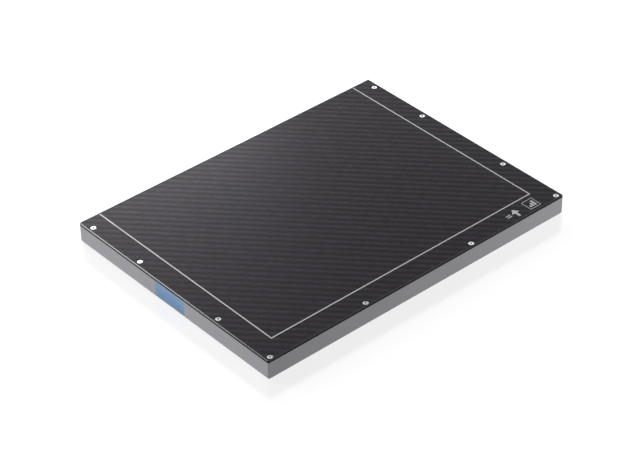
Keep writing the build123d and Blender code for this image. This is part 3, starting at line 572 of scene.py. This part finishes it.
def label_silver():
    """Silver film with a plain ruled table."""
    made, place = new_finish("label_silver")
    x, y, _ = axes(place)
    low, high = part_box("rear_label")
    across = (x - low.x) / MM
    up = (y - low.y) / MM
    width, height = (high.x - low.x) / MM, (high.y - low.y) / MM
    ink = band(across, width * column_share, rule_half)
    for row in range(1, table_rows):
        ink = ink + band(up, row * height / table_rows, rule_half)
    for edge in (table_margin, width - table_margin):
        ink = ink + band(across, edge, rule_half)
    for edge in (table_margin, height - table_margin):
        ink = ink + band(up, edge, rule_half)
    border = table_margin - rule_half
    ink = ink * band(across, width / 2.0, width / 2.0 - border)
    ink = ink * band(up, height / 2.0, height / 2.0 - border)
    ink = ink.math("MINIMUM", ink, 1.0)
    brushed = mottle(stretched(place, 0.05, 1.0, 1.0), 0.2 * MM)
    film = blend(brushed, grey(0.66), grey(0.74))
    coat_with(
        place,
        Base_Color=blend(ink, film, grey(0.05)),
        Metallic=0.35 - ink * 0.35,
        Roughness=0.35 + brushed * 0.1,
        Normal=relief(brushed, 0.002 * MM),
    )
    return made


finishes = {}
for maker in (
    carbon_weave, cast_frame, cover_grey, seal_black, print_grey, screw_steel, screw_black, foam_grey,
    scintillator_white, sensor_glass, shield_lead, plate_magnesium, flex_amber, chip_black, pad_grey,
    board_green, spacer_brass, coil_grey, socket_ivory, can_tin, tray_black, contact_gold, pack_black,
    cell_silver, lock_grey, label_blue, label_silver, button_grey, bezel_black, light_clear, lamp_white,
    antenna_copper, lead_black,
):
    finishes[maker.__name__] = maker()

for part in frame["record"]["subparts"]:
    for entry in frame["nodes"][part["node"]].material_slots:
        entry.material = finishes[part["material_slot"]]

# Printed marks on the front plate: a framed sign and an arrow
print_thickness = 0.02 * MM
sign_centre = Vector((109.2 * MM, -92.4 * MM))
sign_half = 4.9 * MM
sign_line = 0.4 * MM
sign_bar_start = 3.0 * MM
sign_bar_pitch = 2.2 * MM
sign_bar_width = 1.5 * MM
sign_bar_height = 2.0 * MM
sign_bar_rise = 1.9 * MM
arrow_centre = Vector((94.0 * MM, -93.0 * MM))
arrow_head_half = 3.3 * MM
arrow_reach = 4.2 * MM
arrow_shaft_half = 0.9 * MM
dash_start = 8.6 * MM
dash_end = 4.6 * MM
dash_low = 1.2 * MM
dash_width = 0.8 * MM
dash_pitch = 1.8 * MM


def printed(name, outlines):
    """Thin ink on the plate, from closed outlines of plan points."""
    mesh = bmesh.new()
    for outline in outlines:
        face = mesh.faces.new([mesh.verts.new((x, y, plate_high.z)) for x, y in outline])
        lifted = bmesh.ops.extrude_face_region(mesh, geom=[face])["geom"]
        points = [part for part in lifted if isinstance(part, bmesh.types.BMVert)]
        bmesh.ops.translate(mesh, verts=points, vec=(0, 0, print_thickness))
    bmesh.ops.recalc_face_normals(mesh, faces=mesh.faces)
    data = bpy.data.meshes.new(name)
    mesh.to_mesh(data)
    mesh.free()
    data.materials.append(finishes["print_grey"])
    piece = bpy.data.objects.new(name, data)
    bpy.context.scene.collection.objects.link(piece)
    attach(piece, "housing")


def bar(x_low, x_high, y_low, y_high):
    return [(x_low, y_low), (x_high, y_low), (x_high, y_high), (x_low, y_high)]


def framed_sign():
    """A square frame with three rising bars in it."""
    x, y = sign_centre
    outer, inner = sign_half, sign_half - sign_line
    sides = [
        bar(x - outer, x + outer, y + inner, y + outer),
        bar(x - outer, x + outer, y - outer, y - inner),
        bar(x - outer, x - inner, y - inner, y + inner),
        bar(x + inner, x + outer, y - inner, y + inner),
    ]
    low = y - sign_bar_start
    for step in range(3):
        left = x - sign_bar_start + step * sign_bar_pitch
        high = low + sign_bar_height + step * sign_bar_rise
        sides.append(bar(left, left + sign_bar_width, low, high))
    printed("framed_sign", sides)


def chest_arrow():
    """A small arrow and two short bars."""
    x, y = arrow_centre
    head = [(x - arrow_head_half, y), (x + arrow_head_half, y), (x, y + arrow_reach)]
    shaft = bar(x - arrow_shaft_half, x + arrow_shaft_half, y - arrow_reach, y)
    outlines = [head, shaft]
    for step in range(2):
        low = y - dash_low + step * dash_pitch
        outlines.append(bar(x - dash_start, x - dash_end, low, low + dash_width))
    printed("chest_arrow", outlines)


framed_sign()
chest_arrow()

# White glossy table and soft studio light
table_size = 9.0
table_drop = 0.1 * MM
table_grey = 0.13
table_glow = 0.9
mirror_share = 0.14
mirror_blur = 0.17
level_above = 0.3
level_below = 0.3
lamp_tint = (0.98, 0.96, 1.0)


def table_white():
    """White acrylic with the object's shadow and a faint mirror image, clear from underneath."""
    made, place = new_finish("table_white")
    lit = place.node("ShaderNodeBsdfDiffuse", {}, {"Color": grey(table_grey)})
    glow = place.node("ShaderNodeEmission", {}, {"Color": grey(1.0), "Strength": table_glow})
    mirror = place.node("ShaderNodeBsdfGlossy", {}, {"Color": grey(1.0), "Roughness": mirror_blur})
    shown = place.node("ShaderNodeAddShader", {}, {"Shader": lit, "Shader_001": glow})
    shown = place.node(
        "ShaderNodeMixShader", {}, {"Fac": mirror_share, "Shader": shown, "Shader_001": mirror}
    )
    underneath = place.node("ShaderNodeNewGeometry", output="Backfacing")
    clear = place.node("ShaderNodeBsdfTransparent", {}, {"Color": grey(1.0)})
    shown = place.node(
        "ShaderNodeMixShader", {}, {"Fac": underneath, "Shader": shown, "Shader_001": clear}
    )
    place.node("ShaderNodeOutputMaterial", {}, {"Surface": shown})
    return made


def table():
    """A flat sheet just under the detector."""
    half = table_size / 2
    data = bpy.data.meshes.new("table")
    corners = [(-half, -half), (half, -half), (half, half), (-half, half)]
    data.from_pydata([(x, y, -table_drop) for x, y in corners], [], [(0, 1, 2, 3)])
    data.materials.append(table_white())
    made = bpy.data.objects.new("table", data)
    made.visible_diffuse = False
    made.visible_shadow = False
    bpy.context.scene.collection.objects.link(made)


def studio_world():
    """White to the camera and in reflections, and softer light from above and from below."""
    world = bpy.data.worlds.new("studio_world")
    world.use_nodes = True
    world.node_tree.nodes.clear()
    start = Wire(world.node_tree)
    seen = start.node("ShaderNodeLightPath", output="Is Camera Ray")
    for ray in ("Is Glossy Ray", "Is Transmission Ray"):
        seen = seen + start.node("ShaderNodeLightPath", output=ray)
    seen = seen.math("MINIMUM", seen, 1.0)
    direction = start.node("ShaderNodeTexCoord", output="Generated")
    above = axes(direction)[2] > 0.0
    level = above * level_above + (1.0 - above) * level_below
    level = seen + (1.0 - seen) * level
    light = start.node("ShaderNodeBackground", {}, {"Color": grey(1.0), "Strength": level})
    start.node("ShaderNodeOutputWorld", {}, {"Surface": light})
    bpy.context.scene.world = world


def softbox(name, azimuth, elevation, distance, width, height, power):
    """A rectangular light aimed at the detector.

    Azimuth and elevation are in degrees, with azimuth from +X towards +Y. Power is in watts.
    """
    data = bpy.data.lights.new(name, "AREA")
    data.shape = "RECTANGLE"
    data.size, data.size_y = width, height
    data.energy = power
    data.color = lamp_tint
    made = bpy.data.objects.new(name, data)
    turn, rise = math.radians(azimuth), math.radians(elevation)
    towards = Vector((math.cos(turn) * math.cos(rise), math.sin(turn) * math.cos(rise), math.sin(rise)))
    made.location = towards * distance
    made.rotation_euler = towards.to_track_quat("Z", "Y").to_euler()
    made.visible_camera = False
    bpy.context.scene.collection.objects.link(made)


photo_camera()
table()
studio_world()

# Each light's name, azimuth, elevation, distance, width, height and power
softbox("back_softbox", 72.0, 20.5, 1.5, 0.9, 0.7, 22.0)
softbox("back_right_softbox", 44.0, 21.0, 1.5, 0.75, 0.6, 1.8)
softbox("left_softbox", 126.0, 27.0, 1.5, 0.7, 0.7, 15.5)
softbox("front_left_softbox", 185.0, 25.0, 1.5, 0.7, 0.7, 3.2)
softbox("front_right_softbox", -40.0, 8.0, 0.6, 0.3, 0.14, 1.15)
softbox("under_softbox", 0.0, -89.0, 1.2, 0.6, 0.6, 8.0)

bpy.context.scene.view_settings.view_transform = "Standard"
